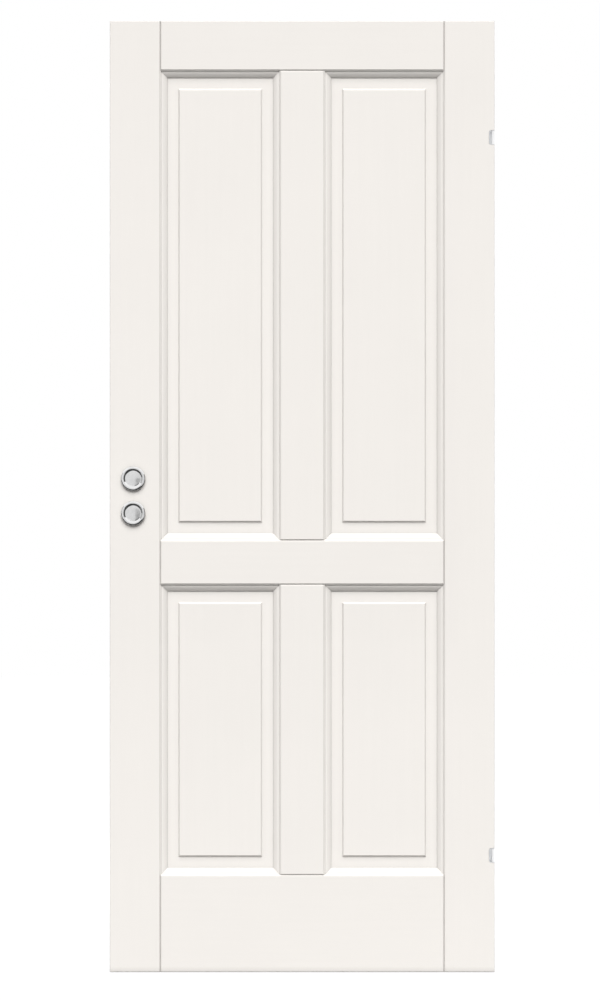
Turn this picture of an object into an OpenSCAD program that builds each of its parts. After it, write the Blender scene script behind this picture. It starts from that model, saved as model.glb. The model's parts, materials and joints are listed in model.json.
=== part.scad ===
// Four-panel interior door leaf, hung on two hooked hinges at its right edge.
// The origin is at the middle of the foot. X runs to the right, Y to the rear and Z up.
// The leaf is held by its hinge sockets, so it stands upright here as it hangs.

/* [Leaf] */
// Width of the leaf
leaf_w = 825; // [725:1:925]
// Height of the leaf
leaf_h = 2040; // [1940:1:2140]
// Thickness of the stiles and rails
leaf_t = 40; // [39:0.5:44]
// Radius of the eased outer edges
edge_r = 1.6; // [0.8:0.1:2.5]

/* [Stiles, rails and mullions] */
// Face width of a stile, up to the moulding
stile_face = 106; // [100:0.5:125]
// Face height of the top rail
top_rail_face = 104; // [90:0.5:150]
// Face height of the lock rail
lock_rail_face = 90.5; // [84:0.5:110]
// Face height of the bottom rail
bottom_rail_face = 206; // [170:0.5:230]
// Height of the lock rail's lower face edge above the foot
lock_rail_z = 833.5; // [760:0.5:850]
// Face width of the mullions
mullion_face = 90.5; // [70:0.5:110]
// Width and depth of the bevel on each side of a joint
joint_bevel = 2.2; // [1:0.1:3]
// Radius of the dowels
dowel_r = 8; // [6:0.5:9]
// Depth of a dowel in each of the two members it joins
dowel_in = 40; // [25:1:42]

/* [Moulding] */
// Width of the moulding round each panel
mould_w = 17; // [15:0.5:19]
// Depth of the moulding below the face where it meets the panel
mould_drop = 12; // [11:0.25:13]
// Width of each of the two flat fillets in the moulding
fillet_w = 1; // [0.8:0.1:2]
// Radius of the hollow between the two fillets
hollow_r = 2.7; // [2:0.1:3.5]
// Half of the angle that the moulding's wide round turns through
round_turn = 9; // [4:0.5:14]
// Height of the upright lip where the moulding meets the panel
lip_h = 1; // [0.8:0.1:2]
// Depth of the groove that holds the panel
groove_in = 11; // [10:0.5:12]

/* [Panels] */
// Depth that a panel's tongue goes into the groove
tongue_in = 9; // [7:0.5:9.5]
// Side clearance of the tongue in the groove
tongue_gap = 0.45; // [0.1:0.05:0.6]
// Width of the sloping margin round the raised field
margin_w = 23.5; // [15:0.5:35]
// Rise of the margin from the moulding to the step
margin_rise = 1.2; // [0.4:0.1:2]
// Width of the sloping step up to the raised field
step_w = 3.2; // [2.5:0.1:6]
// Depth of the raised field below the face of the stiles
field_drop = 7.4; // [5:0.1:8.5]

/* [Lock] */
// Distance of the follower from the lock edge
backset = 50; // [48:0.5:55]
// Height of the handle follower above the lock rail's upper face edge
handle_over_rail = 134.5; // [125:0.5:160]
// Distance from the handle follower down to the bolt follower
key_spacing = 74.5; // [72:0.5:90]
// Thickness of the lock case
case_t = 15; // [14:0.25:16]
// Thickness of the sheet of the lock case
sheet_t = 1.5; // [1.2:0.1:1.8]
// Length of the forend
forend_l = 200; // [190:1:220]
// Width of the forend
forend_w = 20; // [18:0.5:22]
// Thickness of the forend
forend_t = 3; // [2:0.1:4]
// Angle that the handle follower turns through
latch_turn = 35; // [25:1:40]
// Radius at which the handle follower pushes the latch
latch_arm = 20; // [18:0.5:21]
// Side of the square hole in the handle follower
handle_square = 8; // [7:0.1:9]
// Angle that the bolt follower turns through
bolt_turn = 90; // [80:1:100]
// Distance that the dead bolt moves out
bolt_throw = 13; // [11:0.5:14]
// Side of the square hole in the bolt follower
bolt_square = 5; // [4:0.1:6]

/* [Rosettes] */
// Radius of a rosette
rosette_r = 26; // [25:0.25:28]
// Height of a rosette's rim above the face of the door
rosette_h = 7; // [6.5:0.25:9]
// Depth of the sunk middle below the rim
rosette_sink = 2.9; // [1.5:0.1:3]
// Radius at which the rim starts to slope down to the sunk middle
rosette_mid_r = 21.2; // [20:0.1:22]
// Radius of the round of the rim
rim_r = 4.75; // [4:0.05:5]
// Slope of the rim where it ends, in degrees
rim_slope = 48; // [40:1:55]
// Wall of a rosette cover
cover_t = 1.2; // [0.8:0.1:1.4]
// Distance of each base screw from the middle of the rosette
base_screw_x = 19; // [18:0.25:20]

/* [Hinge sockets] */
// Distance of a hinge socket's middle from the head or the foot
hinge_from_end = 250; // [200:1:300]
// Clear height of a hinge socket
socket_h = 28; // [24:0.5:34]
// Clear width of a hinge socket, in from the hinge edge
socket_w = 10.2; // [9.6:0.1:12]
// Depth of a hinge socket from the front face
socket_d = 16; // [14:0.5:20]
// Wall of a hinge socket
socket_wall = 1.3; // [1.2:0.1:2]
// Radius of the cross pin that the frame's hinge hooks on
hinge_pin_r = 2.5; // [2:0.1:2.6]

/* [Hidden] */
$fn = 64;
half_w = leaf_w / 2;
half_t = leaf_t / 2;
stile_x = half_w - stile_face;
joint_x = stile_x - joint_bevel;
mullion_x = mullion_face / 2;
open_w = stile_x - mullion_x;
open_x = (stile_x + mullion_x) / 2;
low_z0 = bottom_rail_face;
low_z1 = lock_rail_z;
up_z0 = lock_rail_z + lock_rail_face;
up_z1 = leaf_h - top_rail_face;
low_h = low_z1 - low_z0;
up_h = up_z1 - up_z0;

// Play round a curved piece in wood, in metal, and of a sliding or turning metal piece
wood_play = 0.45;
metal_play = 0.3;
slide_play = 0.2;
turn_play = 0.1;

// Steps of the moulding, measured inward from the face edge and down from the face
fillet1_u = joint_bevel + fillet_w;
hollow_u = fillet1_u + hollow_r;
hollow_d = joint_bevel + hollow_r;
fillet2_u = hollow_u + fillet_w;
round_w = mould_w - fillet2_u;
round_h = mould_drop - lip_h - hollow_d;
round_r = norm([round_w, round_h]) / (2 * sin(round_turn));
round_a = atan2(round_h, round_w) - round_turn;
round_b = round_a + 2 * round_turn;
round_u = fillet2_u - round_r * sin(round_a);
round_d = hollow_d + round_r * cos(round_a);
lap = joint_bevel / 2;

// Half thicknesses of a panel at its tongue, at the top of its margin and at its field
tongue_y = half_t - mould_drop - tongue_gap;
margin_y = tongue_y + margin_rise;
field_y = half_t - field_drop;

// The lock, from the lock edge inward
edge_x = -half_w;
hub_x = edge_x + backset;
handle_z = up_z0 + handle_over_rail;
key_z = handle_z - key_spacing;
case_y = case_t / 2;
room_y = case_y - sheet_t;
flush = 0.2;
latch_z = handle_z + latch_arm;
latch_h = 20;
latch_t = 11;
latch_l = 26;
latch_nose = 12;
tip_r = 3;
latch_out = latch_arm * latch_turn * PI / 180;
collar_x = hub_x + latch_out + tip_r + 0.3;
collar_t = 4.5;
rod_r = 2.5;
latch_back = edge_x + flush + latch_l;
guide_t = 1.6;
guide_x = latch_back + 10.4;
hub_r = 8;
hub_flange_r = 10;
bolt_hub_r = 6;
bolt_h = 20;
bolt_t = 10;
bolt_l = 28;
bolt_z0 = key_z + 1;
bolt_z1 = bolt_z0 + bolt_h;
crank_r = bolt_throw / (2 * sin(bolt_turn / 2));
crank_pin_r = 2.2;
crank_x = bolt_throw / 2;
crank_disc_r = crank_r + crank_pin_r + 1;
tail_y0 = -4.5;
tail_y1 = 2.5;
tail_z0 = key_z + bolt_hub_r + 0.4;
track_r = 2.5;
track_x = hub_x - 13.5;
track_z = bolt_z1 - 5;
case_x0 = edge_x + forend_t;
case_x1 = max(hub_x + base_screw_x + 7, collar_x + collar_t + sheet_t + 1.5);
case_z0 = key_z - crank_disc_r - sheet_t - 1.2;
case_z1 = latch_z + latch_h / 2 + sheet_t + 1;
forend_z = (case_z0 + case_z1) / 2;
forend_screw_z = forend_l / 2 - 12;
forend_screw_l = 30;
post_r = 3;
post_xs = [edge_x + 14, hub_x + 17];
post_zs = [handle_z - 20, bolt_z1 + 9];

// Rosette bases, under the covers
base_r = rosette_r - cover_t - metal_play;
base_t = 2.4;
rim_edge_r = 0.36;
spigot_r = 10.8;
spigot_l = 8;
spindle_r = 9.2;
base_post_r = 3.5;
base_post_l = half_t - case_y - 1;
screw_r = 2;
thread_r = 1.3;

// Hinge sockets, from the hinge edge inward
socket_x = half_w - socket_w;
socket_zs = [leaf_h - hinge_from_end, hinge_from_end];
socket_round = 3;
pin_x = half_w - hinge_pin_r - 1.2;
pin_y = -half_t + hinge_pin_r + 1.6;
tab_t = 2;
tab_y0 = -half_t + 3;
tab_y1 = -half_t + socket_d - 1;
tab_y = (tab_y0 + tab_y1) / 2;
tab_r = (tab_y1 - tab_y0) / 2;
tab_z = socket_h / 2 + socket_wall + 12;
hinge_screw_l = 26;

white = [0.93, 0.91, 0.88];
beech = [0.80, 0.62, 0.42];
chrome = [0.80, 0.81, 0.82];
zinc = [0.70, 0.71, 0.72];
steel = [0.55, 0.56, 0.58];
nylon = [0.25, 0.25, 0.26];

// Points along a quarter of an ellipse, from angle a0 to a1
function quarter(cx, cy, rx, ry, a0, a1, n) =
    [for (i = [0:n]) let (a = a0 + (a1 - a0) * i / n) [cx + rx * cos(a), cy + ry * sin(a)]];

// The same outline on the other face
function other_face(points) = [for (i = [len(points) - 1:-1:0]) [points[i][0], -points[i][1]]];

// A box between two corners
module box(a, b) {
    translate(a)
        cube(b - a);
}

// A cylinder along Y, between two heights of Y
module rod_y(x, z, r, y0, y1) {
    translate([x, y1, z])
        rotate([90, 0, 0])
            cylinder(r = r, h = y1 - y0);
}

// What is taken off one corner of a member: a bevel at a joint, a round at an outer edge
module corner_cut(kind) {
    if (kind == "joint")
        polygon([[-1, -1], [joint_bevel + 1, -1], [-1, joint_bevel + 1]]);
    else
        difference() {
            translate([-1, -1])
                square(edge_r + 1);
            translate([edge_r, edge_r])
                circle(r = edge_r);
        }
}

// Section of a member across its thickness, from a0 to a1
module section(a0, a1, kind0, kind1) {
    difference() {
        translate([a0, -half_t])
            square([a1 - a0, leaf_t]);
        for (s = [0, 1])
            translate([a0, (2 * s - 1) * half_t])
                mirror([0, s])
                    corner_cut(kind0);
        for (s = [0, 1])
            translate([a1, (2 * s - 1) * half_t])
                mirror([0, s])
                    mirror([1, 0])
                        corner_cut(kind1);
    }
}

// A member without its moulding, with all four of its ends and edges cut
module slab(x0, x1, kind_x0, kind_x1, z0, z1, kind_z0, kind_z1) {
    intersection() {
        translate([0, 0, z0])
            linear_extrude(z1 - z0)
                section(x0, x1, kind_x0, kind_x1);
        translate([x0, 0, 0])
            rotate([90, 0, 90])
                linear_extrude(x1 - x0)
                    mirror([1, -1])
                        section(z0, z1, kind_z0, kind_z1);
    }
}

// Section of the moulding: bevel, fillet, hollow, fillet, round, lip and panel groove
module moulding_section() {
    face = concat(
        [[joint_bevel - lap, -half_t + joint_bevel]],
        quarter(hollow_u, -half_t + joint_bevel, hollow_r, hollow_r, 180, 90, 6),
        quarter(round_u, -half_t + round_d, round_r, round_r, round_a - 90, round_b - 90, 8),
        [[mould_w, -half_t + mould_drop], [mould_w - groove_in, -half_t + mould_drop]]);
    polygon(concat(face, other_face(face)));
}

// One run of moulding with mitred ends, for an edge of an opening. It starts in the member.
module moulding(run) {
    intersection() {
        linear_extrude(run)
            moulding_section();
        translate([0, half_t + 1, 0])
            rotate([90, 0, 0])
                linear_extrude(leaf_t + 2)
                    polygon([[joint_bevel - lap, joint_bevel], [joint_bevel, joint_bevel],
                        [mould_w, mould_w], [mould_w, run - mould_w],
                        [joint_bevel, run - joint_bevel], [joint_bevel - lap, run - joint_bevel]]);
    }
}

// Moulding on an upright member, to its right or, turned, to its left
module moulding_up(x, z, run, turned) {
    translate([x, 0, z])
        mirror([turned, 0, 0])
            moulding(run);
}

// Moulding along a rail, below it or, turned, above it
module moulding_along(x, z, run, turned) {
    translate([x, 0, z])
        mirror([0, 0, turned])
            rotate([0, 90, 0])
                moulding(run);
}

// Moulding along a rail at both openings
module moulding_pair(z, turned) {
    moulding_along(-stile_x, z, open_w, turned);
    moulding_along(mullion_x, z, open_w, turned);
}

// Heights of the dowels of the three rails
function rail_dowel_z() = [
    (up_z1 + leaf_h) / 2 - 27, (up_z1 + leaf_h) / 2 + 27,
    (low_z1 + up_z0) / 2 - 24, (low_z1 + up_z0) / 2 + 24,
    low_z0 / 2 - 60, low_z0 / 2, low_z0 / 2 + 60];

// A dowel along X, or its hole
module dowel_x(x, z, r, in) {
    translate([x - in, 0, z])
        rotate([0, 90, 0])
            cylinder(r = r, h = 2 * in);
}

module rail_dowel_set(r, in) {
    for (side = [-1, 1])
        for (z = rail_dowel_z())
            dowel_x(side * joint_x, z, r, in);
}

// Dowels of the mullions, or their holes
module mullion_dowel_set(r, in) {
    for (z = [low_z0 + joint_bevel, low_z1 - joint_bevel, up_z0 + joint_bevel, up_z1 - joint_bevel])
        for (x = [-1, 1])
            translate([x * mullion_face / 4, 0, z - in])
                cylinder(r = r, h = 2 * in);
}

module rail_dowel_holes() {
    rail_dowel_set(dowel_r + wood_play, dowel_in + 1);
}

module mullion_dowel_holes() {
    mullion_dowel_set(dowel_r + wood_play, dowel_in + 1);
}

// A left stile with its two runs of moulding and its dowel holes
module stile_blank() {
    difference() {
        union() {
            slab(-half_w, -joint_x, "edge", "joint", 0, leaf_h, "edge", "edge");
            moulding_up(-stile_x, low_z0, low_h, 0);
            moulding_up(-stile_x, up_z0, up_h, 0);
        }
        for (z = rail_dowel_z())
            dowel_x(-joint_x, z, dowel_r + wood_play, dowel_in + 1);
    }
}

// Plate with round ends in the plane of an edge, along Z
module edge_plate(x0, x1, y, z, wide, long) {
    translate([x0, y, z])
        rotate([90, 0, 90])
            linear_extrude(x1 - x0) {
                square([wide, long - wide], center = true);
                for (s = [-1, 1])
                    translate([0, s * (long - wide) / 2])
                        circle(d = wide);
            }
}

// Countersunk screw along Z, with its head at the top, or with play its hole
module screw(head_r, r, l, play = 0) {
    rotate_extrude()
        polygon([[0, play], [head_r + play, play], [head_r + play, -0.3], [r + play, -0.3 - head_r + r],
            [r + play, -l + r - play], [0, -l - play]]);
}

// The same screw with a cross recess
module driven_screw(head_r, r, l) {
    difference() {
        screw(head_r, r, l);
        for (a = [0, 90])
            rotate([0, 0, a])
                translate([0, 0, -0.4])
                    cube([head_r * 1.1, head_r * 0.25, 1.6], center = true);
    }
}

module forend_screw_at(s) {
    translate([edge_x, 0, forend_z + s * forend_screw_z])
        rotate([0, -90, 0])
            children();
}

module lock_stile() {
    color(white)
        difference() {
            stile_blank();
            box([edge_x - 1, -case_y - 0.5, case_z0 - 0.5], [case_x1 + 0.5, case_y + 0.5, case_z1 + 0.5]);
            edge_plate(edge_x - 1, case_x0, 0, forend_z, forend_w + 2 * wood_play, forend_l + 2 * wood_play);
            for (z = [handle_z, key_z]) {
                rod_y(hub_x, z, spigot_r + wood_play, -half_t - 1, half_t + 1);
                for (s = [-1, 1])
                    rod_y(hub_x + s * base_screw_x, z, base_post_r + wood_play, -half_t - 1, half_t + 1);
            }
            for (s = [-1, 1])
                forend_screw_at(s)
                    screw(4, screw_r, forend_screw_l, wood_play);
        }
}

// Outline of a hinge socket in the plane of the face, grown by some play
module socket_outline(grow) {
    w = socket_w + socket_wall + grow;
    h = socket_h + 2 * socket_wall + 2 * grow;
    r = socket_round + socket_wall + grow;
    translate([half_w - w + r, -h / 2])
        square([w - r, h]);
    translate([half_w - w, -h / 2 + r])
        square([w, h - 2 * r]);
    for (s = [-1, 1])
        translate([half_w - w + r, s * (h / 2 - r)])
            circle(r = r);
}

// An outline of the face plane raised along Y
module raised_y(z, y0, y1) {
    translate([0, y1, z])
        rotate([90, 0, 0])
            linear_extrude(y1 - y0)
                children();
}

module hinge_stile() {
    color(white)
        difference() {
            mirror([1, 0, 0])
                stile_blank();
            for (z = socket_zs) {
                raised_y(z, -half_t - 1, -half_t + socket_d + socket_wall)
                    socket_outline(metal_play);
                box([half_w - 0.5, -half_t - 1, z - socket_h / 2 - socket_wall - metal_play],
                    [half_w + 1, -half_t + socket_d + socket_wall, z + socket_h / 2 + socket_wall + metal_play]);
                edge_plate(half_w - tab_t, half_w + 1, tab_y, z,
                    2 * (tab_r + wood_play), 2 * (tab_z + tab_r + wood_play));
                for (s = [-1, 1])
                    hinge_screw_at(z, s)
                        screw(3.4, 1.7, hinge_screw_l, wood_play);
            }
        }
}

module top_rail() {
    color(white)
        difference() {
            union() {
                slab(-joint_x, joint_x, "joint", "joint", up_z1 - joint_bevel, leaf_h, "joint", "edge");
                moulding_pair(up_z1, 0);
            }
            rail_dowel_holes();
            mullion_dowel_holes();
        }
}

module lock_rail() {
    color(white)
        difference() {
            union() {
                slab(-joint_x, joint_x, "joint", "joint",
                    low_z1 - joint_bevel, up_z0 + joint_bevel, "joint", "joint");
                moulding_pair(low_z1, 0);
                moulding_pair(up_z0, 1);
            }
            rail_dowel_holes();
            mullion_dowel_holes();
        }
}

module bottom_rail() {
    color(white)
        difference() {
            union() {
                slab(-joint_x, joint_x, "joint", "joint", 0, low_z0 + joint_bevel, "edge", "joint");
                moulding_pair(low_z0, 1);
            }
            rail_dowel_holes();
            mullion_dowel_holes();
        }
}

// A mullion in an opening from z0 to z1
module mullion(z0, z1) {
    color(white)
        difference() {
            union() {
                slab(-mullion_x - joint_bevel, mullion_x + joint_bevel, "joint", "joint",
                    z0 + joint_bevel, z1 - joint_bevel, "joint", "joint");
                moulding_up(mullion_x, z0, z1 - z0, 0);
                moulding_up(-mullion_x, z0, z1 - z0, 1);
            }
            mullion_dowel_holes();
        }
}

module upper_mullion() {
    mullion(up_z0, up_z1);
}

module lower_mullion() {
    mullion(low_z0, low_z1);
}

// Section of a raised panel for an opening of this size: tongue, margin, step and field
module panel_section(open) {
    e = open / 2 - mould_w + tongue_in;
    m = e - tongue_in;
    s = m - margin_w;
    f = s - step_w;
    face = [[-e, tongue_y], [-m, tongue_y], [-s, margin_y], [-f, field_y],
        [f, field_y], [s, margin_y], [m, tongue_y], [e, tongue_y]];
    polygon(concat(face, other_face(face)));
}

// The two sections cross, so the lesser thickness holds and the corners come out mitred
module panel(x, z0, z1) {
    high = z1 - z0;
    color(white)
        translate([x, 0, (z0 + z1) / 2])
            intersection() {
                translate([0, 0, -high / 2])
                    linear_extrude(high)
                        panel_section(open_w);
                translate([-open_w / 2, 0, 0])
                    rotate([90, 0, 90])
                        linear_extrude(open_w)
                            mirror([1, -1])
                                panel_section(high);
            }
}

module upper_left_panel() {
    panel(-open_x, up_z0, up_z1);
}

module upper_right_panel() {
    panel(open_x, up_z0, up_z1);
}

module lower_left_panel() {
    panel(-open_x, low_z0, low_z1);
}

module lower_right_panel() {
    panel(open_x, low_z0, low_z1);
}

module rail_dowels() {
    color(beech)
        rail_dowel_set(dowel_r, dowel_in);
}

module mullion_dowels() {
    color(beech)
        mullion_dowel_set(dowel_r, dowel_in);
}

// Holes of the lock's two plates: followers' bearings and the base screws
module plate_holes(y0, y1) {
    rod_y(hub_x, handle_z, hub_r + turn_play, y0, y1);
    rod_y(hub_x, key_z, bolt_hub_r + turn_play, y0, y1);
    for (z = [handle_z, key_z])
        for (s = [-1, 1])
            rod_y(hub_x + s * base_screw_x, z, screw_r + 1, y0, y1);
}

// Ways of the latch and the dead bolt through the front of the lock
module bolt_ways() {
    box([edge_x - 1, -latch_t / 2 - slide_play, latch_z - latch_h / 2 - slide_play],
        [case_x0 + sheet_t + 1, latch_t / 2 + slide_play, latch_z + latch_h / 2 + slide_play]);
    box([edge_x - 1, -bolt_t / 2 - slide_play, bolt_z0 - slide_play],
        [case_x0 + sheet_t + 1, bolt_t / 2 + slide_play, bolt_z1 + slide_play]);
}

module at_posts() {
    for (x = post_xs)
        for (z = post_zs)
            translate([x, 0, z])
                children();
}

module lock_case() {
    color(zinc)
        difference() {
            union() {
                difference() {
                    box([case_x0, -room_y, case_z0], [case_x1, case_y, case_z1]);
                    box([case_x0 + sheet_t, -case_y, case_z0 + sheet_t],
                        [case_x1 - sheet_t, room_y, case_z1 - sheet_t]);
                }
                difference() {
                    box([guide_x, -room_y + 0.3, latch_z - 7], [guide_x + guide_t, room_y + 0.1, latch_z + 7]);
                    translate([guide_x - 1, 0, latch_z])
                        rotate([0, 90, 0])
                            cylinder(r = rod_r + slide_play, h = guide_t + 2);
                }
                rod_y(track_x, track_z, track_r, -room_y + 0.3, room_y + 0.1);
                at_posts()
                    rod_y(0, 0, post_r, -room_y, room_y + 0.1);
            }
            bolt_ways();
            plate_holes(room_y - 1, case_y + 1);
            at_posts()
                rod_y(0, 0, thread_r + metal_play, -case_y, room_y - 2);
        }
}

module lock_cover() {
    color(zinc)
        difference() {
            box([case_x0, -case_y, case_z0], [case_x1, -room_y, case_z1]);
            plate_holes(-case_y - 1, -room_y + 1);
            at_posts()
                translate([0, -case_y, 0])
                    rotate([90, 0, 0])
                        screw(2.3, thread_r, 9, metal_play);
        }
}

module lock_cover_screws() {
    color(steel)
        at_posts()
            translate([0, -case_y, 0])
                rotate([90, 0, 0])
                    driven_screw(2.3, thread_r, 8);
}

module forend() {
    color(steel)
        difference() {
            edge_plate(edge_x, case_x0, 0, forend_z, forend_w, forend_l);
            bolt_ways();
            for (s = [-1, 1])
                forend_screw_at(s)
                    screw(4, screw_r, forend_screw_l, metal_play);
        }
}

module forend_screws() {
    color(steel)
        for (s = [-1, 1])
            forend_screw_at(s)
                driven_screw(4, screw_r, forend_screw_l);
}

// Latch bolt, drawn in: a nose with one sloping side, a rod and the collar that the follower pushes
module latch_bolt() {
    x0 = edge_x + flush;
    color(steel)
        union() {
            translate([0, 0, latch_z - latch_h / 2])
                linear_extrude(latch_h)
                    polygon([[x0, -latch_t / 2], [x0, -latch_t / 2 + 2.5], [x0 + latch_nose, latch_t / 2],
                        [latch_back, latch_t / 2], [latch_back, -latch_t / 2]]);
            translate([latch_back - 1, 0, latch_z])
                rotate([0, 90, 0])
                    cylinder(r = rod_r, h = collar_x - latch_back + 2);
            box([collar_x, -room_y + 0.8, latch_z - 6], [collar_x + collar_t, room_y - 0.8, latch_z + 6]);
        }
}

// One ring of the spring's wire
function wire_ring(i, per_turn, coil_r, wire_r, x, pitch) =
    [for (k = [0:7]) let (a = 360 * i / per_turn, b = 45 * k, r = coil_r + wire_r * cos(b))
        [x + pitch * i / per_turn + wire_r * sin(b), r * cos(a), r * sin(a)]];

// Latch spring, pressed together between the latch and the case's guide
module latch_spring() {
    per_turn = 20;
    turns = 6;
    wire_r = 0.45;
    n = per_turn * turns;
    x = latch_back + wire_r + 0.1;
    pitch = (guide_x - latch_back - 2 * wire_r - 0.2) / turns;
    points = [for (i = [0:n]) each wire_ring(i, per_turn, 3.7, wire_r, x, pitch)];
    sides = [for (i = [0:n - 1]) for (k = [0:7])
        [8 * i + k, 8 * i + (k + 1) % 8, 8 * i + 8 + (k + 1) % 8, 8 * i + 8 + k]];
    ends = [[for (k = [7:-1:0]) k], [for (k = [0:7]) 8 * n + k]];
    color(steel)
        translate([0, 0, latch_z])
            polyhedron(points, concat(sides, ends));
}

// Handle follower, turned as it is when the latch is drawn in
module handle_follower() {
    color(steel)
        translate([hub_x, 0, handle_z])
            rotate([0, latch_turn, 0])
                difference() {
                    union() {
                        rod_y(0, 0, hub_r, -case_y + 0.1, case_y - 0.1);
                        rod_y(0, 0, hub_flange_r, -room_y + 0.4, room_y - 0.4);
                        for (y = [-room_y + 0.8, rod_r + 0.7]) {
                            box([-tip_r, y, 0], [tip_r, y + room_y - rod_r - 1.5, latch_arm]);
                            rod_y(0, latch_arm, tip_r, y, y + room_y - rod_r - 1.5);
                        }
                    }
                    cube([handle_square, case_t + 1, handle_square], center = true);
                }
}

// Dead bolt, drawn in: a head, and a tail with a slot for the crank and a slot for the case's guide
module dead_bolt() {
    x0 = edge_x + flush;
    slot_x = hub_x + crank_x;
    slot_w = crank_pin_r + 0.5;
    color(steel)
        difference() {
            union() {
                box([x0, -bolt_t / 2, bolt_z0], [x0 + bolt_l, bolt_t / 2, bolt_z1]);
                box([x0 + bolt_l - 1, tail_y0, tail_z0], [slot_x + slot_w + 4, tail_y1, bolt_z1]);
            }
            box([slot_x - slot_w, -case_y, key_z], [slot_x + slot_w, case_y, key_z + crank_r + slot_w]);
            box([track_x, -case_y, track_z - track_r - slide_play],
                [track_x + bolt_throw, case_y, track_z + track_r + slide_play]);
            for (x = [track_x, track_x + bolt_throw])
                rod_y(x, track_z, track_r + slide_play, -case_y, case_y);
        }
}

// Bolt follower, with a crank disc behind the bolt's tail and a pin in its slot
module bolt_follower() {
    color(steel)
        translate([hub_x, 0, key_z])
            rotate([0, bolt_turn / 2, 0])
                difference() {
                    union() {
                        rod_y(0, 0, bolt_hub_r, -case_y + 0.1, case_y - 0.1);
                        rod_y(0, 0, crank_disc_r, tail_y1 + 0.3, room_y - 0.3);
                        rod_y(0, 0, bolt_hub_r + 2.5, -room_y + 0.3, tail_y0 - 0.3);
                        rod_y(0, crank_r, crank_pin_r, tail_y0 + 0.5, tail_y1 + 1);
                    }
                    cube([bolt_square, case_t + 1, bolt_square], center = true);
                }
}

// Base ring of a rosette, standing on the face at height 0 and reaching into the door
module base_ring() {
    difference() {
        union() {
            cylinder(r = base_r, h = base_t);
            translate([0, 0, -spigot_l])
                cylinder(r = spigot_r, h = spigot_l + 0.5);
            children();
        }
        translate([0, 0, -spigot_l - 1])
            cylinder(r = spindle_r, h = spigot_l + base_t + 2);
    }
}

// Base on the front face, with two posts that the screws go into
module front_base(z) {
    color(nylon)
        translate([hub_x, -half_t, z])
            rotate([90, 0, 0])
                difference() {
                    base_ring()
                        for (s = [-1, 1])
                            translate([s * base_screw_x, 0, -base_post_l])
                                cylinder(r = base_post_r, h = base_post_l + 0.5);
                    for (s = [-1, 1])
                        translate([s * base_screw_x, 0, -base_post_l - 1])
                            cylinder(r = screw_r + metal_play, h = base_post_l + 1.5);
                }
}

// Base on the rear face, with two countersunk holes
module rear_base(z) {
    color(nylon)
        translate([hub_x, half_t, z])
            rotate([-90, 0, 0])
                difference() {
                    base_ring();
                    for (s = [-1, 1])
                        translate([s * base_screw_x, 0, base_t])
                            screw(3.6, screw_r, leaf_t, metal_play);
                }
}

module front_upper_base() {
    front_base(handle_z);
}

module front_lower_base() {
    front_base(key_z);
}

module rear_upper_base() {
    rear_base(handle_z);
}

module rear_lower_base() {
    rear_base(key_z);
}

module base_screws() {
    color(steel)
        for (z = [handle_z, key_z])
            for (s = [-1, 1])
                translate([hub_x + s * base_screw_x, half_t + base_t, z])
                    rotate([-90, 0, 0])
                        driven_screw(3.6, screw_r, leaf_t + base_t - 1);
}

// Points on a slope that starts and ends level
function ease(r0, h0, r1, h1, n) =
    [for (i = [0:n]) let (t = i / n) [r0 + (r1 - r0) * t, h0 + (h1 - h0) * t * t * (3 - 2 * t)]];

// Section of a rosette cover: a rounded rim, an easy slope down to a sunk middle, open below
module rosette_section() {
    sunk_h = rosette_h - rosette_sink;
    foot_r = rosette_mid_r - 4.6;
    crest_r = rosette_r - rim_edge_r - (rim_r - rim_edge_r) * sin(rim_slope);
    edge_h = rosette_h - rim_r + (rim_r - rim_edge_r) * cos(rim_slope);
    outer = concat(
        [[rosette_r, 0]],
        quarter(rosette_r - rim_edge_r, edge_h, rim_edge_r, rim_edge_r, 0, 60 - 2 * rim_slope / 3, 2),
        quarter(crest_r, rosette_h - rim_r, rim_r, rim_r, 90 - rim_slope, 90, 8),
        ease(rosette_mid_r, rosette_h, foot_r, sunk_h, 10),
        [[foot_r - 1.4, sunk_h + 0.15], [foot_r / 2, sunk_h + 0.3], [0, sunk_h + 0.35]]);
    inner = [[0, sunk_h - cover_t], [foot_r + 0.4, sunk_h - cover_t],
        [rosette_r - cover_t - 2.4, rosette_h - cover_t - 0.4],
        [rosette_r - cover_t, 3], [rosette_r - cover_t, 0]];
    polygon(concat(outer, inner));
}

module front_rosette(z) {
    color(chrome)
        translate([hub_x, -half_t, z])
            rotate([90, 0, 0])
                rotate_extrude()
                    rosette_section();
}

module rear_rosette(z) {
    color(chrome)
        translate([hub_x, half_t, z])
            rotate([-90, 0, 0])
                rotate_extrude()
                    rosette_section();
}

module front_upper_rosette() {
    front_rosette(handle_z);
}

module front_lower_rosette() {
    front_rosette(key_z);
}

module rear_upper_rosette() {
    rear_rosette(handle_z);
}

module rear_lower_rosette() {
    rear_rosette(key_z);
}

module hinge_screw_at(z, s) {
    translate([half_w, tab_y, z + s * tab_z])
        rotate([0, 90, 0])
            children();
}

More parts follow.
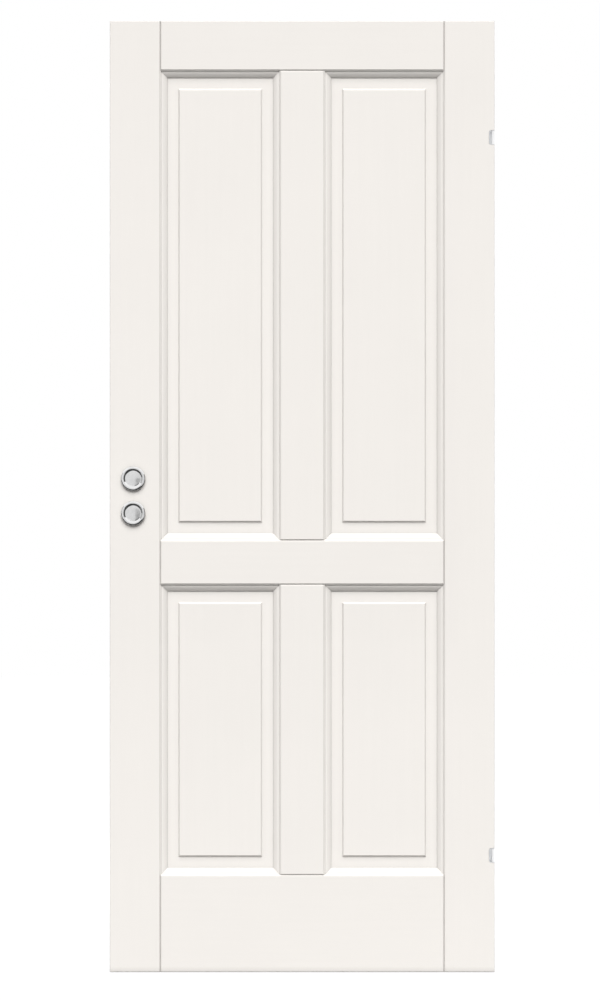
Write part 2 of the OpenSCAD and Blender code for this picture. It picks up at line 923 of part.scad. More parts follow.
// Hinge socket: a cup open to the front and to the edge, with a screwed tab above and below
module hinge_socket(z) {
    color(zinc)
        difference() {
            union() {
                raised_y(z, -half_t, -half_t + socket_d + socket_wall)
                    socket_outline(0);
                edge_plate(half_w - tab_t, half_w, tab_y, z, 2 * tab_r, 2 * (tab_z + tab_r));
            }
            raised_y(z, -half_t - 1, -half_t + socket_d) {
                translate([socket_x + socket_round, -socket_h / 2])
                    square([socket_w, socket_h]);
                translate([socket_x, -socket_h / 2 + socket_round])
                    square([socket_w, socket_h - 2 * socket_round]);
                for (s = [-1, 1])
                    translate([socket_x + socket_round, s * (socket_h / 2 - socket_round)])
                        circle(r = socket_round);
            }
            translate([pin_x, pin_y, z - socket_h])
                cylinder(r = hinge_pin_r + 0.25, h = 2 * socket_h);
            for (s = [-1, 1])
                hinge_screw_at(z, s)
                    screw(3.4, 1.7, hinge_screw_l, metal_play);
        }
}

module hinge_pin(z) {
    color(steel)
        translate([pin_x, pin_y, z - socket_h / 2 - socket_wall])
            cylinder(r = hinge_pin_r, h = socket_h + 2 * socket_wall);
}

module upper_hinge_socket() {
    hinge_socket(socket_zs[0]);
}

module lower_hinge_socket() {
    hinge_socket(socket_zs[1]);
}

module upper_hinge_pin() {
    hinge_pin(socket_zs[0]);
}

module lower_hinge_pin() {
    hinge_pin(socket_zs[1]);
}

module hinge_screws() {
    color(steel)
        for (z = socket_zs)
            for (s = [-1, 1])
                hinge_screw_at(z, s)
                    driven_screw(3.4, 1.7, hinge_screw_l);
}

lock_stile();
hinge_stile();
top_rail();
lock_rail();
bottom_rail();
upper_mullion();
lower_mullion();
upper_left_panel();
upper_right_panel();
lower_left_panel();
lower_right_panel();
rail_dowels();
mullion_dowels();
lock_case();
lock_cover();
lock_cover_screws();
forend();
forend_screws();
latch_bolt();
latch_spring();
handle_follower();
dead_bolt();
bolt_follower();
front_upper_base();
front_lower_base();
rear_upper_base();
rear_lower_base();
base_screws();
front_upper_rosette();
front_lower_rosette();
rear_upper_rosette();
rear_lower_rosette();
upper_hinge_socket();
lower_hinge_socket();
upper_hinge_pin();
lower_hinge_pin();
hinge_screws();
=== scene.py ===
# %% [markdown]
# # A painted four-panel door leaf
# The joinery comes from the CAD frame: stiles, rails, mullions, raised panels, lock and hinge sockets.
# Here it gets what paint and plating add: softened arrises, a satin paint film, polished rosettes and
# worked steel. Everything is in metres, in the frame of the CAD model: the hinge edge is at +X, the
# front face looks along -Y and the head of the door is at +Z.

# %% Load the frame
import json
import math

import bpy
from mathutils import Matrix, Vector


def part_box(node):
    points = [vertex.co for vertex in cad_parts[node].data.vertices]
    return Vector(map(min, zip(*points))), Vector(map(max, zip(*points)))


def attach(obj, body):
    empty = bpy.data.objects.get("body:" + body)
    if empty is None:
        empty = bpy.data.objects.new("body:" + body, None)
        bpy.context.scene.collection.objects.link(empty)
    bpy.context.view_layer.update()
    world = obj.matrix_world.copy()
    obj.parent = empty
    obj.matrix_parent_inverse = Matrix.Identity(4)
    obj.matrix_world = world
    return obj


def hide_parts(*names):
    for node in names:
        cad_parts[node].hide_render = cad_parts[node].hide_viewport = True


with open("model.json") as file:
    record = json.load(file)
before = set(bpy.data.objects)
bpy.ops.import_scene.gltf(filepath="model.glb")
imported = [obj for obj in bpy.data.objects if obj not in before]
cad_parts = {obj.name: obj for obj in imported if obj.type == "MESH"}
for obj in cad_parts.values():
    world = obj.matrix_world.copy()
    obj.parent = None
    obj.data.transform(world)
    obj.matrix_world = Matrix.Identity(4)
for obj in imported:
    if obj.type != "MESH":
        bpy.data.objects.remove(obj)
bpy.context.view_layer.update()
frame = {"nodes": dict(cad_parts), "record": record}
nodes = frame["nodes"]
SLOTS = {part["node"]: part["material_slot"] for part in frame["record"]["subparts"]}
MM = 0.001

# %% [markdown]
# ## Small helpers for modelling
# Operators act on whatever is selected, so a step that forgets an old selection changes the wrong piece.
# Each step here first clears the selection and names its own piece.

# %% Selection helpers
def only(obj):
    """Select one object and make it the active one."""
    if bpy.context.object and bpy.context.object.mode != "OBJECT":
        bpy.ops.object.mode_set(mode="OBJECT")
    bpy.ops.object.select_all(action="DESELECT")
    obj.select_set(True)
    bpy.context.view_layer.objects.active = obj


def edit_all(obj):
    """Open a piece in edit mode with all of it selected."""
    only(obj)
    bpy.ops.object.mode_set(mode="EDIT")
    bpy.ops.mesh.select_all(action="SELECT")


def done():
    """Leave edit mode."""
    bpy.ops.object.mode_set(mode="OBJECT")


def apply_modifiers(obj):
    """Turn what the modifiers show into the mesh itself."""
    only(obj)
    for name in [m.name for m in obj.modifiers]:
        bpy.ops.object.modifier_apply(modifier=name)


# %% [markdown]
# ## Helpers for finishes
# A finish is a small network of nodes. Four kinds do nearly all the work: a noise pattern, a mapping
# that stretches it, a remap that brings it into a useful range, and arithmetic that joins two values.

# %% Node helpers
def noise(tree, vector, scale, detail, rough=0.5):
    """A noise pattern, from 0 to 1."""
    made = tree.nodes.new("ShaderNodeTexNoise")
    made.inputs["Scale"].default_value = scale
    made.inputs["Detail"].default_value = detail
    made.inputs["Roughness"].default_value = rough
    tree.links.new(vector, made.inputs["Vector"])
    return made.outputs["Fac"]


def stretch(tree, vector, scale):
    """Scale a pattern's coordinates unevenly, so that it runs along one direction."""
    made = tree.nodes.new("ShaderNodeMapping")
    made.inputs["Scale"].default_value = scale
    tree.links.new(vector, made.inputs["Vector"])
    return made.outputs["Vector"]


def remap(tree, value, from_range, to_range):
    """Bring a value from one range into another, and hold it at the ends."""
    made = tree.nodes.new("ShaderNodeMapRange")
    for name, number in zip(("From Min", "From Max", "To Min", "To Max"), (*from_range, *to_range)):
        made.inputs[name].default_value = number
    tree.links.new(value, made.inputs["Value"])
    return made.outputs["Result"]


def combine(tree, a, b, operation):
    """Join two values by arithmetic; b may be a plain number."""
    made = tree.nodes.new("ShaderNodeMath")
    made.operation = operation
    for socket, value in zip(made.inputs, (a, b)):
        if isinstance(value, (int, float)):
            socket.default_value = value
        else:
            tree.links.new(value, socket)
    return made.outputs["Value"]


# %% An empty effect
EFFECT_OUTPUTS = ("Tone", "Gloss", "Height")


def new_effect(name):
    """A shader group that takes coordinates and has the three outputs that every finish uses."""
    group = bpy.data.node_groups.new(name, "ShaderNodeTree")
    group.interface.new_socket("Vector", in_out="INPUT", socket_type="NodeSocketVector")
    for out in EFFECT_OUTPUTS:
        group.interface.new_socket(out, in_out="OUTPUT", socket_type="NodeSocketFloat")
    start = group.nodes.new("NodeGroupInput")
    end = group.nodes.new("NodeGroupOutput")
    return group, start.outputs["Vector"], end.inputs


def put_out(group, sockets, values):
    """Link the finished values to the group's outputs, in order."""
    for value, socket in zip(values, sockets):
        group.links.new(value, socket)


MIDDLE = (0.3, 0.7)
BROAD = (0.2, 0.8)

# %% [markdown]
# ## The paint film
# A factory door is sanded, primed and sprayed. The film is even, but not perfectly: the wood's grain still
# shows through it very faintly, the spray leaves a fine pebbled skin, and the gloss drifts from place to
# place. Shade is painted into the film as well: slopes that turn away from the front are painted a little
# greyer than the faces, and creases and corners are painted greyer still, where shade would fall.

# %% Paint film
GRAIN_ACROSS, GRAIN_ALONG = 95.0, 3.2
SKIN_SCALE, CLOUD_SCALE = 900.0, 5.0
# Painted shade on slopes: where the surface turns away from the front, the tone falls into this range.
SLOPE_SHADE_FACING, PAINTED_SLOPE_SHADE = (0.75, 0.99), (0.925, 1.0)
# Painted shade in recesses: each row has its reach, the range of openness that it uses and its darkest tone.
PAINTED_RECESS_SHADES = ((14 * MM, (0.40, 1.0), 0.74), (3 * MM, (0.30, 0.85), 0.86))


def paint_film(name, along):
    """Satin paint over wood whose grain runs along X or Z."""
    group, where, out = new_effect(name)
    lengths = {"X": (GRAIN_ALONG, GRAIN_ACROSS, GRAIN_ACROSS), "Z": (GRAIN_ACROSS, GRAIN_ACROSS, GRAIN_ALONG)}
    grain = noise(group, stretch(group, where, lengths[along]), 1.0, 5.0, 0.62)
    skin = noise(group, where, SKIN_SCALE, 2.0)
    cloud = noise(group, where, CLOUD_SCALE, 3.0)
    tone = combine(group, remap(group, cloud, MIDDLE, (0.993, 1.007)),
                   remap(group, grain, MIDDLE, (0.994, 1.005)), "MULTIPLY")
    # Painted shade: surfaces that turn away from the front are painted greyer than the faces.
    normal = group.nodes.new("ShaderNodeSeparateXYZ")
    surface = group.nodes.new("ShaderNodeNewGeometry")
    group.links.new(surface.outputs["Normal"], normal.inputs["Vector"])
    facing = combine(group, normal.outputs["Y"], 0.0, "ABSOLUTE")
    tone = combine(group, tone, remap(group, facing, SLOPE_SHADE_FACING, PAINTED_SLOPE_SHADE), "MULTIPLY")
    # Painted shade: the tone is darkened in creases, corners and other recesses, where shade falls.
    for reach, openness, darkest in PAINTED_RECESS_SHADES:
        recess = group.nodes.new("ShaderNodeAmbientOcclusion")
        recess.samples = 8
        recess.inputs["Distance"].default_value = reach
        painted_recess_shade = remap(group, recess.outputs["AO"], openness, (darkest, 1.0))
        tone = combine(group, tone, painted_recess_shade, "MULTIPLY")
    gloss = combine(group, remap(group, cloud, MIDDLE, (0.36, 0.44)),
                    remap(group, skin, MIDDLE, (-0.02, 0.02)), "ADD")
    height = combine(group, remap(group, grain, BROAD, (0.0, 0.75)),
                     remap(group, skin, BROAD, (0.0, 0.25)), "ADD")
    put_out(group, out, (tone, gloss, height))
    return group


film = {"X": paint_film("paint_film_along_x", "X"), "Z": paint_film("paint_film_along_z", "Z")}
print("paint films:", [group.name for group in film.values()])

# %% [markdown]
# ## Worked metal
# Ground steel has fine lines along the way it was ground. Plated metal has no lines, but its gloss clouds a
# little. One group does both: only the stretch of the lines differs.

# %% Worked metal
def worked_metal(name, line_scale, cloud_scale):
    """Fine lines and soft clouding of plated or ground metal."""
    group, where, out = new_effect(name)
    lines = noise(group, stretch(group, where, line_scale), 1.0, 3.0, 0.6)
    cloud = noise(group, where, cloud_scale, 4.0)
    tone = remap(group, cloud, MIDDLE, (0.94, 1.04))
    gloss = combine(group, remap(group, lines, MIDDLE, (-0.5, 0.5)),
                    remap(group, cloud, MIDDLE, (-0.5, 0.5)), "ADD")
    put_out(group, out, (tone, gloss, lines))
    return group


ground = worked_metal("ground_metal_up", (2600.0, 2600.0, 40.0), 60.0)
plated = worked_metal("plated_metal", (420.0, 420.0, 420.0), 90.0)
print("metal effects:", ground.name, plated.name)

# %% [markdown]
# ## The finishes
# Each finish is one Principled shader. Its colour is tinted by the effect's tone, its roughness by the gloss
# and its surface by the height, so no finish is one flat colour. Polished metal would throw bright patches on
# the paint beside it, which a soft studio doesn't show, so paint sees every metal as dull.

# %% Material maker
GLOSS_RANGE = (-0.6, 0.6)


def finish(name, colour, effect_group, bump, depth, rough=None, spread=0.0, metallic=0.0):
    """A material. Without a roughness of its own it takes the one that the effect puts out."""
    mat = bpy.data.materials.new(name)
    mat.use_nodes = True
    tree = mat.node_tree
    shader = tree.nodes["Principled BSDF"]
    shader.inputs["Metallic"].default_value = metallic
    where = tree.nodes.new("ShaderNodeTexCoord").outputs["Object"]
    effect = tree.nodes.new("ShaderNodeGroup")
    effect.node_tree = effect_group
    tree.links.new(where, effect.inputs["Vector"])
    tint = tree.nodes.new("ShaderNodeMix")
    tint.data_type = "RGBA"
    tint.blend_type = "MULTIPLY"
    tint.inputs["Factor"].default_value = 1.0
    tint.inputs["A"].default_value = (*colour, 1.0)
    tree.links.new(effect.outputs["Tone"], tint.inputs["B"])
    tree.links.new(tint.outputs["Result"], shader.inputs["Base Color"])
    gloss = effect.outputs["Gloss"]
    if rough is not None:
        gloss = remap(tree, gloss, GLOSS_RANGE, (rough - spread, rough + spread))
        from_paint = tree.nodes.new("ShaderNodeLightPath").outputs["Is Diffuse Ray"]
        gloss = combine(tree, gloss, from_paint, "MAXIMUM")
    tree.links.new(gloss, shader.inputs["Roughness"])
    relief = tree.nodes.new("ShaderNodeBump")
    relief.inputs["Strength"].default_value = bump
    relief.inputs["Distance"].default_value = depth
    tree.links.new(effect.outputs["Height"], relief.inputs["Height"])
    tree.links.new(relief.outputs["Normal"], shader.inputs["Normal"])
    mat.diffuse_color = (*colour, 1.0)
    return mat


# %% [markdown]
# The paint is a warm white. Beech dowels take the same film as the wood, without the white. The colours of the
# metals are what each plating reflects: chrome and fresh zinc nearly all, ground steel little more than half.

# %% Paint and wood
PAINT_WHITE = (0.862, 0.829, 0.790)
BEECH = (0.52, 0.34, 0.19)
paint = {along: finish(f"white_satin_paint_{along.lower()}", PAINT_WHITE, film[along], 0.35, 0.12 * MM)
         for along in ("X", "Z")}
mats = {"beech": finish("beech_dowel", BEECH, film["Z"], 0.5, 0.3 * MM)}
print("paint and wood:", [m.name for m in (*paint.values(), *mats.values())])

# %% Metals and nylon
# Each row: slot, name, colour, effect, bump, depth in mm, roughness, its spread and how metallic it is.
HARD_FINISHES = (
    ("zinc_sheet", "zinc_plated_sheet", (0.60, 0.61, 0.63), plated, 0.1, 0.05, 0.32, 0.10, 1.0),
    ("screw_steel", "plated_screw", (0.58, 0.58, 0.59), plated, 0.1, 0.03, 0.28, 0.10, 1.0),
    ("satin_steel", "satin_steel", (0.60, 0.60, 0.60), ground, 0.2, 0.03, 0.30, 0.08, 1.0),
    ("spring_steel", "spring_wire", (0.32, 0.32, 0.34), plated, 0.1, 0.02, 0.30, 0.08, 1.0),
    ("nylon", "black_nylon", (0.03, 0.03, 0.032), plated, 0.15, 0.04, 0.48, 0.06, 0.0),
    ("chrome", "polished_chrome", (0.86, 0.86, 0.86), plated, 0.02, 0.01, 0.075, 0.03, 1.0),
    ("bright_zinc", "bright_zinc", (0.85, 0.86, 0.87), plated, 0.1, 0.03, 0.36, 0.10, 1.0),
    ("pin_steel", "ground_pin", (0.95, 0.95, 0.95), ground, 0.1, 0.02, 0.36, 0.05, 1.0),
)
for slot, name, colour, effect_group, bump, depth, rough, spread, metallic in HARD_FINISHES:
    mats[slot] = finish(name, colour, effect_group, bump, depth * MM, rough, spread, metallic)
print("metals and nylon:", [row[1] for row in HARD_FINISHES])

# %% [markdown]
# ## Softened copies of the joinery
# A CAD edge is perfectly sharp, but sanding and two coats of paint round every arris by about half a
# millimetre, and that round is what catches the light along the moulding. The CAD mesh is loose triangles, so a
# copy is merged, its flat faces are joined and its sharp edges are bevelled. Weighted normals then keep the
# broad faces flat, so that the rounds don't pull their shading aside.

# %% Soften one node
MERGE = 0.02 * MM
FLAT_ANGLE = math.radians(0.4)
ARRIS_ANGLE = math.radians(32.0)
SMOOTH_ANGLE = math.radians(35.0)
ARRIS_STEPS = 2


def soften(node, width, body):
    """A copy of a CAD node with rounded edges, which takes the node's place."""
    piece = bpy.data.objects.new(node + "_soft", nodes[node].data.copy())
    bpy.context.scene.collection.objects.link(piece)
    piece.data.materials.clear()
    edit_all(piece)
    bpy.ops.mesh.remove_doubles(threshold=MERGE)
    bpy.ops.mesh.dissolve_limited(angle_limit=FLAT_ANGLE)
    bpy.ops.mesh.normals_make_consistent(inside=False)
    done()
    rounding = piece.modifiers.new("arris", "BEVEL")
    rounding.width = width
    rounding.segments = ARRIS_STEPS
    rounding.limit_method = "ANGLE"
    rounding.angle_limit = ARRIS_ANGLE
    rounding.use_clamp_overlap = False
    rounding.miter_outer = "MITER_SHARP"
    apply_modifiers(piece)
    bpy.ops.object.shade_smooth_by_angle(angle=SMOOTH_ANGLE)
    flat = piece.modifiers.new("flat_faces", "WEIGHTED_NORMAL")
    flat.keep_sharp = True
    flat.weight = 100
    apply_modifiers(piece)
    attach(piece, body)
    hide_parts(node)
    return piece


# %% [markdown]
# Stiles, mullions and panels stand with their grain upright. The rails lie across, so theirs runs along X, and
# under the paint that is the only thing that tells them apart.

# %% Wood
PAINTED_ARRIS = 0.45 * MM
LYING = ("top_rail", "lock_rail", "bottom_rail")
for node in [name for name, slot in SLOTS.items() if slot == "white_paint"]:
    piece = soften(node, PAINTED_ARRIS, "leaf")
    piece.data.materials.append(paint["X" if node in LYING else "Z"])
    print(piece.name, len(piece.data.polygons), "faces")

# %% [markdown]
# ## Steel that shows in the edges
# The forend, the two bolts, the hinge sockets and their pins are seen from the side. Their edges are broken by
# a quarter of a millimetre, as a file leaves them. The bolts ride on their own bodies, so that they slide.

# %% Edge hardware
FILED_ARRIS = 0.25 * MM
EDGE_STEEL = {
    "forend": "leaf", "latch_bolt": "latch", "dead_bolt": "bolt",
    "upper_hinge_socket": "leaf", "lower_hinge_socket": "leaf",
    "upper_hinge_pin": "leaf", "lower_hinge_pin": "leaf",
}
for node, body in EDGE_STEEL.items():
    piece = soften(node, FILED_ARRIS, body)
    piece.data.materials.append(mats[SLOTS[node]])
    print(piece.name, len(piece.data.polygons), "faces")

# %% [markdown]
# ## The rosettes
# A blind rosette covers the hole of a lock that has no handle or key. It is a disc of sheet pressed to shape and
# chromed: a rounded rim, a slope down, and a sunk, slightly domed middle. It is round, so one profile is
# drawn and spun. Polished metal shows every facet, so the rounds have many points.

# %% Where the rosettes are
low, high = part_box("front_upper_rosette")
ROSETTE_X = (low.x + high.x) / 2
ROSETTE_Z = (low.z + high.z) / 2
FACE_Y = high.y
RADIUS = (high.x - low.x) / 2 / MM
HEIGHT = (high.y - low.y) / MM
low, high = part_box("front_lower_rosette")
DROP = ROSETTE_Z - (low.z + high.z) / 2
print("rosette radius", round(RADIUS, 2), "height", round(HEIGHT, 2), "mm, spacing", round(DROP / MM, 2), "mm")

# %% Curves of the profile
def round_points(centre_r, centre_h, radius, start, end, steps):
    """Points on a round, as distance from the axis and height above the face, in mm."""
    turns = [math.radians(start + (end - start) * i / steps) for i in range(steps + 1)]
    return [(centre_r + radius * math.cos(t), centre_h + radius * math.sin(t)) for t in turns]


def ease(r0, h0, r1, h1, steps):
    """Points on a slope that starts and ends level."""
    shares = [i / steps for i in range(1, steps + 1)]
    return [(r0 + (r1 - r0) * t, h0 + (h1 - h0) * t * t * (3 - 2 * t)) for t in shares]


# %% Rosette profile
DISC_R, DISC_H, DOME, DOME_STEPS = 15.2, HEIGHT - 2.75, 0.2, 8
GROOVE_R, GROOVE_H = 16.6, HEIGHT - 2.9
WALL_R = 21.2
RIM_ROUND, EDGE_ROUND, RIM_SLOPE = 4.75, 0.36, 48.0
SHEET, INNER_EDGE_H, CREST_SHEET = 1.2, 3.0, 1.6
slope = math.radians(RIM_SLOPE)
crest_r = RADIUS - EDGE_ROUND - (RIM_ROUND - EDGE_ROUND) * math.sin(slope)
edge_h = HEIGHT - RIM_ROUND + (RIM_ROUND - EDGE_ROUND) * math.cos(slope)

profile = [(DISC_R * i / DOME_STEPS, DISC_H + DOME * (1 - (i / DOME_STEPS) ** 2)) for i in range(DOME_STEPS + 1)]
profile += ease(DISC_R, DISC_H, GROOVE_R, GROOVE_H, 6)
profile += ease(GROOVE_R, GROOVE_H, WALL_R, HEIGHT, 20)
profile += round_points(crest_r, HEIGHT - RIM_ROUND, RIM_ROUND, 90.0, 90.0 - RIM_SLOPE, 14)
profile += round_points(RADIUS - EDGE_ROUND, edge_h, EDGE_ROUND, 90.0 - RIM_SLOPE, 0.0, 6)[1:]
profile += [(RADIUS, 0.0), (RADIUS - SHEET, 0.0), (RADIUS - SHEET, INNER_EDGE_H), (crest_r, HEIGHT - CREST_SHEET)]
profile += [(GROOVE_R, GROOVE_H - SHEET), (0.0, GROOVE_H - SHEET)]
print("rosette profile:", len(profile), "points")

# %% [markdown]
# A single point is extruded from place to place along the profile, which starts on the axis at the top and ends on
# it underneath, and the line is spun full circle. The spin leaves a seam, so the points are merged and the normals
# turned outward again.

# %% Spin it
SPIN_STEPS = 96
SEAM = 0.004 * MM
POLISH_ANGLE = math.radians(40.0)


def place(r, h):
    """A profile point in the model's frame."""
    return Vector((ROSETTE_X + r * MM, FACE_Y - h * MM, ROSETTE_Z))


def spun_rosette(name):
    """One rosette, from a point drawn out along the profile and spun."""
    bpy.ops.object.select_all(action="DESELECT")
    bpy.ops.mesh.primitive_plane_add(size=MM, location=(0, 0, 0))
    piece = bpy.context.object
    piece.name = piece.data.name = name
    edit_all(piece)
    bpy.ops.mesh.merge(type="CENTER")
    bpy.ops.transform.translate(value=place(*profile[0]))
    for a, b in zip(profile, profile[1:]):
        bpy.ops.mesh.extrude_region_move(TRANSFORM_OT_translate={"value": place(*b) - place(*a)})
    bpy.ops.mesh.select_all(action="SELECT")
    bpy.ops.mesh.spin(steps=SPIN_STEPS, angle=2 * math.pi, center=place(0, 0), axis=(0, 1, 0))
    bpy.ops.mesh.select_all(action="SELECT")
    bpy.ops.mesh.remove_doubles(threshold=SEAM)
    bpy.ops.mesh.normals_make_consistent(inside=False)
    done()
    bpy.ops.object.shade_smooth_by_angle(angle=POLISH_ANGLE)
    return piece


# %% [markdown]
# The same pressing is used four times: two on the front and two on the rear, where it is turned half round.

# %% Four rosettes
def placed_copy(source, name, drop, rear):
    """A copy with its own mesh, lowered, or turned to the rear face."""
    piece = source.copy()
    piece.data = source.data.copy()
    piece.name = piece.data.name = name
    bpy.context.scene.collection.objects.link(piece)
    edit_all(piece)
    if rear:
        bpy.ops.transform.rotate(value=math.pi, orient_axis="Z", center_override=(ROSETTE_X, 0.0, 0.0))
    bpy.ops.transform.translate(value=(0.0, 0.0, -drop))
    done()
    return piece


first = spun_rosette("front_upper_rosette_spun")
rosettes = {
    "front_upper_rosette": first,
    "front_lower_rosette": placed_copy(first, "front_lower_rosette_spun", DROP, False),
    "rear_upper_rosette": placed_copy(first, "rear_upper_rosette_spun", 0.0, True),
    "rear_lower_rosette": placed_copy(first, "rear_lower_rosette_spun", DROP, True),
}
for node, piece in rosettes.items():
    piece.data.materials.append(mats["chrome"])
    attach(piece, "leaf")
    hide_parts(node)
    depths = [v.co.y for v in piece.data.vertices]
    print(piece.name, len(piece.data.polygons), "faces, y", round(min(depths), 4), round(max(depths), 4))

# %% [markdown]
# ## Finishes on the pieces that stay as the CAD made them
# The lock inside the stile, the dowels, the rosette bases and the screws keep their CAD shapes. Most are hidden,
# but a screw head or the inside of the lock may show through a hole.

# %% Paint the rest
kept = {node: obj for node, obj in nodes.items() if not obj.hide_render}
for node, obj in kept.items():
    obj.data.materials.clear()
    obj.data.materials.append(mats[SLOTS[node]])
print("kept CAD nodes:", len(kept))

# %% [markdown]
# ## The floor
# The studio's floor is as pale as its walls, and the door's shadow lies softly on it. It is made of a grey that
# takes light and shadow, with a glow added for whoever looks at it, straight or in a mirror. To the paint it stays
# grey, so it doesn't light the foot of the door more than the head.

# %% Rays that a viewer follows
def seen_rays(tree):
    """1 for rays from the camera, straight or by way of a mirror or glass, and 0 for the rest."""
    paths = tree.nodes.new("ShaderNodeLightPath").outputs
    seen = combine(tree, paths["Is Camera Ray"], paths["Is Glossy Ray"], "MAXIMUM")
    return combine(tree, seen, paths["Is Transmission Ray"], "MAXIMUM")


# %% Floor
FLOOR_SIZE, FLOOR_Z = 30.0, -1 * MM
FLOOR_GREY, FLOOR_GLOW, FLOOR_ROUGH = 0.18, 0.81, 0.9
bpy.ops.object.select_all(action="DESELECT")
bpy.ops.mesh.primitive_plane_add(size=FLOOR_SIZE, location=(0, 0, FLOOR_Z))
floor = bpy.context.object
floor.name = "floor"
floor_mat = bpy.data.materials.new("pale_floor")
floor_mat.use_nodes = True
tree = floor_mat.node_tree
matt = tree.nodes["Principled BSDF"]
matt.inputs["Base Color"].default_value = (FLOOR_GREY, FLOOR_GREY, FLOOR_GREY, 1.0)
matt.inputs["Roughness"].default_value = FLOOR_ROUGH
matt.inputs["Specular IOR Level"].default_value = 0.0
glow = tree.nodes.new("ShaderNodeEmission")
glow.inputs["Strength"].default_value = FLOOR_GLOW
lit = tree.nodes.new("ShaderNodeAddShader")
tree.links.new(matt.outputs["BSDF"], lit.inputs[0])
tree.links.new(glow.outputs["Emission"], lit.inputs[1])
pick = tree.nodes.new("ShaderNodeMixShader")
tree.links.new(seen_rays(tree), pick.inputs["Fac"])
tree.links.new(matt.outputs["BSDF"], pick.inputs[1])
tree.links.new(lit.outputs["Shader"], pick.inputs[2])
tree.links.new(pick.outputs["Shader"], tree.nodes["Material Output"].inputs["Surface"])
floor.data.materials.append(floor_mat)
print("floor grey", FLOOR_GREY, "glow", FLOOR_GLOW)

# %% [markdown]
# ## Boards for the chrome
# Chrome shows the room, so a photographer stands dark and grey boards round it, out of the picture. They are seen
# only in reflections. Below and on the right they are nearly black, which draws the dark ring in the sunk middle;
# on the left and in front they are pale. The rear rosettes get boards of their own.

# %% Make a board
ROSETTES = Vector((ROSETTE_X, FACE_Y, ROSETTE_Z - DROP / 2))


def board(name, corners, shade):
    """A flat board that only mirrors see. Its corners are measured from the rosettes, in metres."""
    bpy.ops.object.select_all(action="DESELECT")
    bpy.ops.mesh.primitive_plane_add(size=1.0, location=(0, 0, 0))
    card = bpy.context.object
    card.name = name
    for vertex, corner in zip(card.data.vertices, corners):
        vertex.co = ROSETTES + Vector(corner)
    mat = bpy.data.materials.new(name)
    mat.use_nodes = True
    tree = mat.node_tree
    tree.nodes.remove(tree.nodes["Principled BSDF"])
    grey = tree.nodes.new("ShaderNodeEmission")
    grey.inputs["Color"].default_value = (shade, shade, shade, 1.0)
    tree.links.new(grey.outputs["Emission"], tree.nodes["Material Output"].inputs["Surface"])
    card.data.materials.append(mat)
    card.visible_camera = card.visible_diffuse = card.visible_shadow = False


# %% Boards square to the door
WIDTH, FAR_WIDTH = (-0.70, 0.70), (-2.2, 3.0)
BELOW, RIGHT, LEFT = -0.32, 0.70, -0.52
SIDE_Z, FAR_Z = (BELOW, 0.33), (-1.0, 1.4)
NEAR_FACE = -0.008
LEFT_SPLIT = -0.04
REAR = 2 * abs(FACE_Y)
REAR_NEAR = REAR + 0.02
# Each row: name, x, y, z and shade. The single number among x, y and z is the board's plane.
SQUARE_BOARDS = (
    ("low_board", WIDTH, (NEAR_FACE, -0.88), BELOW, 0.06),
    ("right_board", RIGHT, (NEAR_FACE, -0.35), SIDE_Z, 0.07),
    ("right_front_board", RIGHT, (-0.35, -0.81), SIDE_Z, 0.30),
    ("left_board", LEFT, (NEAR_FACE, -0.54), (LEFT_SPLIT, SIDE_Z[1]), 0.45),
    ("lower_left_board", LEFT, (NEAR_FACE, -0.54), (BELOW, LEFT_SPLIT), 0.10),
    ("front_board", FAR_WIDTH, -5.0, FAR_Z, 0.80),
    ("corner_board", (-0.06, 0.56), -3.0, (BELOW, 0.06), 0.46),
    ("rear_low_board", WIDTH, (REAR_NEAR, REAR + 0.88), BELOW, 0.06),
    ("rear_side_board", RIGHT, (REAR_NEAR, REAR + 0.81), SIDE_Z, 0.20),
    ("rear_far_board", FAR_WIDTH, REAR + 5.0, FAR_Z, 0.70),
)
for name, x, y, z, shade in SQUARE_BOARDS:
    if isinstance(x, float):
        corners = [(x, b, c) for c in z for b in y]
    elif isinstance(y, float):
        corners = [(a, y, c) for c in z for a in x]
    else:
        corners = [(a, b, z) for b in y for a in x]
    board(name, corners, shade)
print("square boards:", len(SQUARE_BOARDS))

# %% [markdown]
# One more board, a black one, stands aslant in front, low on the right. It darkens the ring at eleven o'clock, and
# the rim and the edge of the disc at five o'clock.

# %% Slanted board
def toward(off_axis, clock, far):
    """A corner so many degrees off the rosettes' axis, and round it from the right upwards."""
    a, c = math.radians(off_axis), math.radians(clock)
    return (far * math.sin(a) * math.cos(c), -far * math.cos(a), far * math.sin(a) * math.sin(c))


SLANT_OFF_AXIS, SLANT_CLOCK, SLANT_FAR, SLANT_SHADE = (6.0, 30.0), (-43.0, -87.0), 2.0, 0.01
slanted = [toward(a, c, SLANT_FAR) for a in SLANT_OFF_AXIS for c in SLANT_CLOCK]
board("lower_right_board", slanted, SLANT_SHADE)
print("slanted board:", [tuple(round(v, 2) for v in corner) for corner in slanted])

# %% [markdown]
# ## Light
# The photo is lit softly from above and in front, so mouldings that face up are nearly white and those that face
# down are grey. A broad sun gives that slope evenly from head to foot, and a dim even world fills the rest. The
# world is white to the camera and in the chrome. Two broad lamps behind light the rear face and the edges, which
# the sun can't reach. No lamp is mirrored, because the chrome in the photo has no burnt-out spots.

# %% World
FILL, WHITE = 0.10, 1.0
world = bpy.data.worlds.new("studio")
bpy.context.scene.world = world
world.use_nodes = True
tree = world.node_tree
sky = tree.nodes["Background"]
sky.inputs["Color"].default_value = (WHITE, WHITE, WHITE, 1.0)
tree.links.new(remap(tree, seen_rays(tree), (0.0, 1.0), (FILL, WHITE)), sky.inputs["Strength"])
print("fill", FILL)

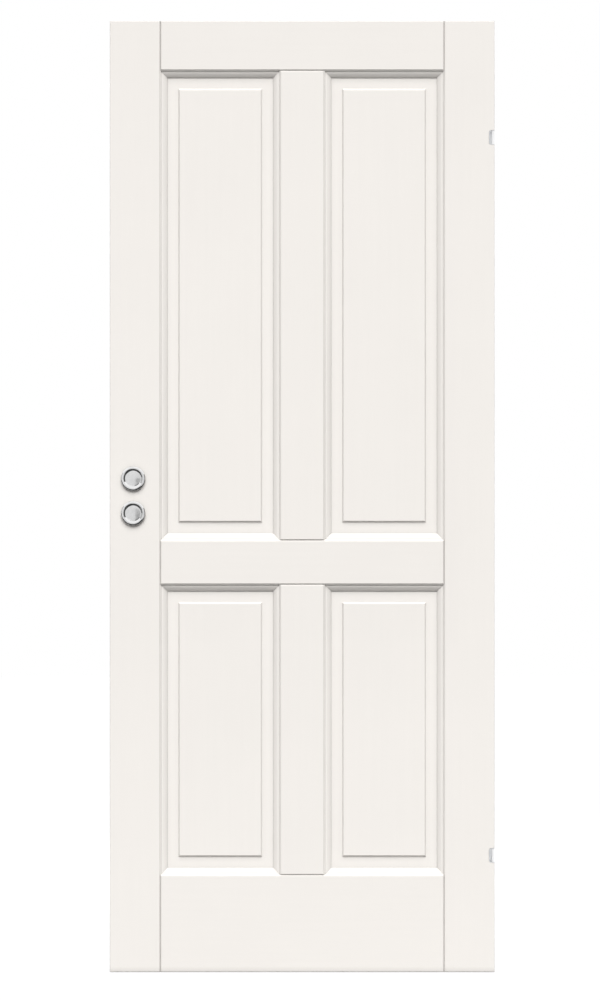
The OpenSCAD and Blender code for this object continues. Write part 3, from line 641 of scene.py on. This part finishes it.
# %% Lamps
SUN, SUN_SPREAD = 4.20, math.radians(50.0)
SUN_HEIGHT, SUN_SIDE = math.radians(49.0), math.radians(2.0)
REAR_POWER, REAR_SIZE = 60.0, (1.4, 2.0)
REAR_X, REAR_Y, REAR_Z = 2.3, 2.5, 2.3
LEAF_MIDDLE = Vector((0.0, 0.0, 1.0))


def add_lamp(name, kind, power):
    """A lamp that lights the door but isn't mirrored in it."""
    light = bpy.data.lights.new(name, kind)
    light.energy = power
    lamp = bpy.data.objects.new(name, light)
    bpy.context.scene.collection.objects.link(lamp)
    lamp.visible_glossy = False
    return lamp


key = add_lamp("key", "SUN", SUN)
key.data.angle = SUN_SPREAD
key.rotation_euler = (math.pi / 2 - SUN_HEIGHT, 0.0, SUN_SIDE)
for side in (-1, 1):
    soft = add_lamp("rear", "AREA", REAR_POWER)
    soft.data.shape = "RECTANGLE"
    soft.data.size, soft.data.size_y = REAR_SIZE
    soft.location = (side * REAR_X, REAR_Y, REAR_Z)
    soft.rotation_euler = (LEAF_MIDDLE - soft.location).to_track_quat("-Z", "Y").to_euler()
print("sun", SUN, "rear lamps", REAR_POWER)

# %% [markdown]
# ## Camera
# The photo is taken straight on with a long lens. The leaf is 950 of its 1000 pixels high, which gives the size of a
# pixel on the door's face, and from that and the lens comes the distance.

# %% Camera
PHOTO_H, MM_PER_PIXEL = 1000, 2.1448
LENS, SENSOR, FAR_CLIP = 150.0, 36.0, 100.0
AIM_X, AIM_Z = -0.0047, 1.0125
lens = bpy.data.cameras.new("camera")
lens.lens = LENS
lens.sensor_width = SENSOR
lens.clip_end = FAR_CLIP
camera = bpy.data.objects.new("camera", lens)
bpy.context.scene.collection.objects.link(camera)
distance = PHOTO_H * MM_PER_PIXEL * MM * LENS / SENSOR
camera.location = (AIM_X, FACE_Y - distance, AIM_Z)
camera.rotation_euler = (math.pi / 2, 0.0, 0.0)
bpy.context.scene.camera = camera
bpy.context.scene.view_settings.view_transform = "Standard"
print("camera distance", round(distance, 3))
